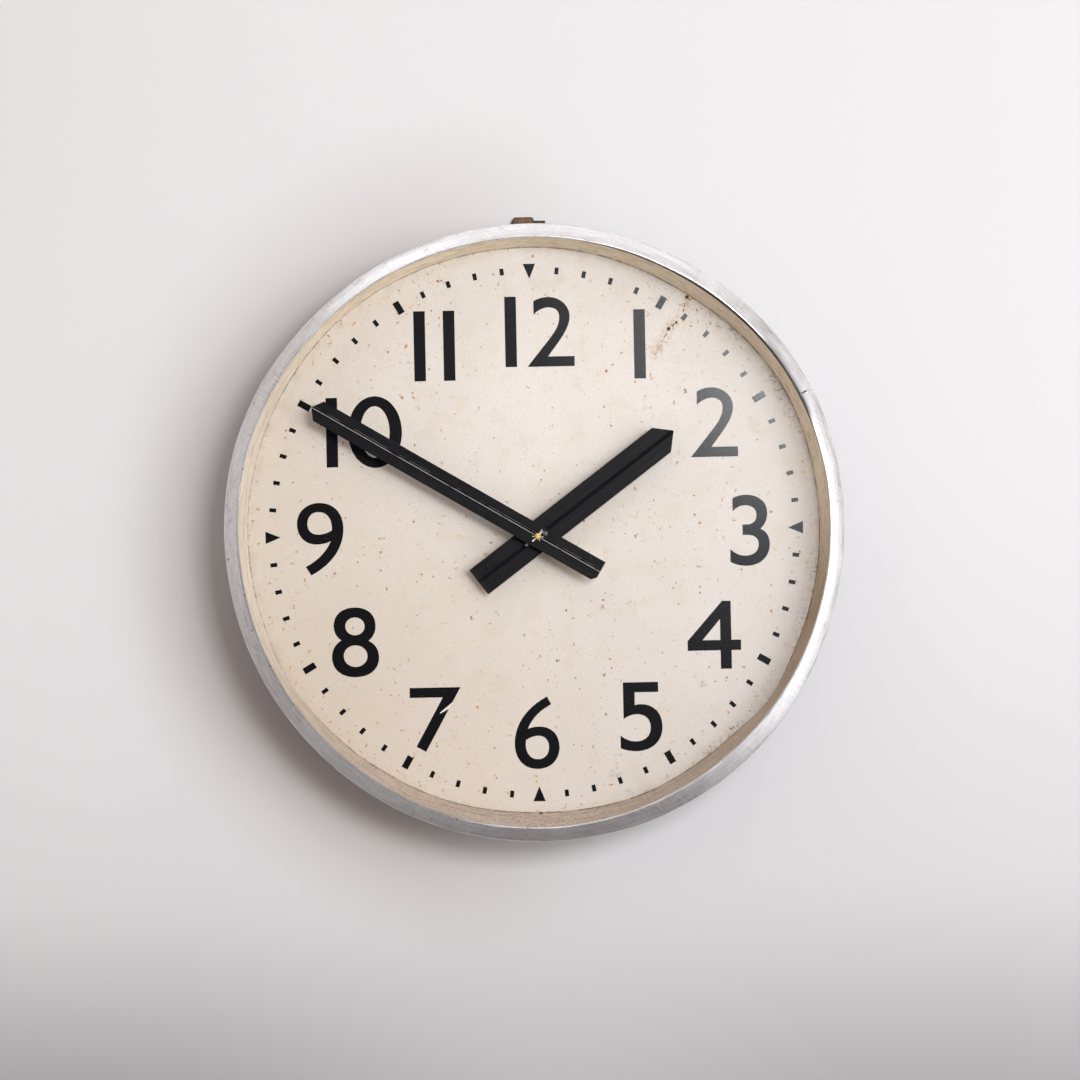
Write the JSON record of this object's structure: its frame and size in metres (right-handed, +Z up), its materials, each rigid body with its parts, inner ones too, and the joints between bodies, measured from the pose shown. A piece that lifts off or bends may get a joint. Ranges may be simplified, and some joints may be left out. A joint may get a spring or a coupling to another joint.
{
  "type": "station clock",
  "caption": "Round wall-hung station clock: steel drum case, rolled aluminium bezel, cream dial with plain black numerals, straight black hands and an impulse movement behind the dial.",
  "frame": {"origin": "point in the wall plane at the middle of the flush rear cover, on the axis of the drum, bezel and dial; the hand axis is 3.7 mm to the right of it and 4.3 mm below", "axes": "+X to the right seen from the front, +Z up towards twelve, +Y into the wall, so the dial faces -Y"},
  "size_m": [0.659, 0.0943, 0.674],
  "materials": {
    "bezel_aluminium": "brushed, worn",
    "case_paint": "semi matt black stove enamel",
    "hanger_steel": "rusted mild steel",
    "fixing_steel": "dull zinc",
    "dial_cream": "cream paint, rust specks",
    "dial_black": "gloss black paint",
    "strip_fibre": "aged fibre board",
    "hand_black": "satin black paint",
    "brass": "plain brass",
    "bright_steel": "ground steel",
    "soft_iron": "soft iron, oiled",
    "bobbin": "moulded",
    "winding": "enamelled copper wire",
    "bakelite": "moulded",
    "lead_cover": "sleeved",
    "bush_rubber": "matt"
  },
  "bodies": {
    "case": {"bezel_ring": "bezel_aluminium", "joint_plate": "bezel_aluminium", "case_drum": "case_paint", "rear_cover": "case_paint", "cover_seat_ring": "case_paint", "dial_brackets": "case_paint", "hanger_plate": "hanger_steel", "hanger_rivets": "hanger_steel", "rear_cover_screws": "fixing_steel", "bezel_screws": "fixing_steel", "joint_rivets": "fixing_steel", "dial_screws": "fixing_steel", "dial_studs": "fixing_steel", "stud_nuts": "fixing_steel", "pillar_screws": "fixing_steel", "yoke_screws": "fixing_steel", "spring_screw": "fixing_steel", "block_screw": "fixing_steel", "terminal_fixing": "fixing_steel", "dial_plate": "dial_cream", "dial_numerals": "dial_black", "minute_track": "dial_black", "rim_strip": "strip_fibre", "front_plate": "brass", "back_plate": "brass", "plate_pillars": "brass", "front_bush": "brass", "back_bush": "brass", "spring_block": "brass", "terminal_screws": "brass", "wheel_post": "bright_steel", "post_clip": "bright_steel", "armature_pin": "bright_steel", "click_post": "bright_steel", "armature_spring": "bright_steel", "magnet_cores": "soft_iron", "magnet_yoke": "soft_iron", "coil_bobbins": "bobbin", "coil_windings": "winding", "terminal_block": "bakelite", "coil_leads": "lead_cover", "cable_bush": "bush_rubber"},
    "minute_train": {"centre_arbor": "bright_steel", "ratchet_wheel": "brass", "cannon_pinion": "brass", "minute_collet": "brass", "minute_hand": "hand_black", "minute_weight": "brass", "minute_rivets": "hand_black", "hand_nut": "brass"},
    "hour_train": {"hour_wheel": "brass", "hour_collet": "brass", "hour_hand": "hand_black", "hour_weight": "brass", "hour_rivets": "hand_black"},
    "motion_wheel": {"minute_wheel": "brass"},
    "armature_lever": {"armature": "soft_iron", "pawl_pin": "bright_steel"},
    "driving_pawl": {"drive_pawl": "bright_steel"},
    "stop_click": {"backstop_click": "bright_steel"}
  },
  "joints": [
    {"name": "minute_spin", "type": "hinge", "parent": "case", "child": "minute_train", "pos_m": [0.0037, 0, -0.0043], "axis": [0, 1, 0], "continuous": true},
    {"name": "hour_spin", "type": "hinge", "parent": "case", "child": "hour_train", "pos_m": [0.0037, 0, -0.0043], "axis": [0, 1, 0], "continuous": true},
    {"name": "motion_spin", "type": "hinge", "parent": "case", "child": "motion_wheel", "pos_m": [0.0277, 0, -0.0043], "axis": [0, 1, 0], "continuous": true},
    {"name": "armature_rock", "type": "hinge", "parent": "case", "child": "armature_lever", "pos_m": [0.0397, 0, -0.03555], "axis": [0, -1, 0], "range_deg": [0, 1.8], "stiffness_Nm_per_rad": 0.2, "springref_deg": -5.73},
    {"name": "pawl_swing", "type": "hinge", "parent": "armature_lever", "child": "driving_pawl", "pos_m": [-0.0278, 0, -0.0023], "axis": [0, -1, 0], "range_deg": [0, 12]},
    {"name": "click_swing", "type": "hinge", "parent": "case", "child": "stop_click", "pos_m": [-0.01632, 0, 0.0267], "axis": [0, -1, 0], "range_deg": [0, 10]}
  ],
  "couplings": [
    {"joint": "hour_spin", "follows": "minute_spin", "ratio": 0.083333},
    {"joint": "motion_spin", "follows": "minute_spin", "ratio": -0.33333}
  ]
}
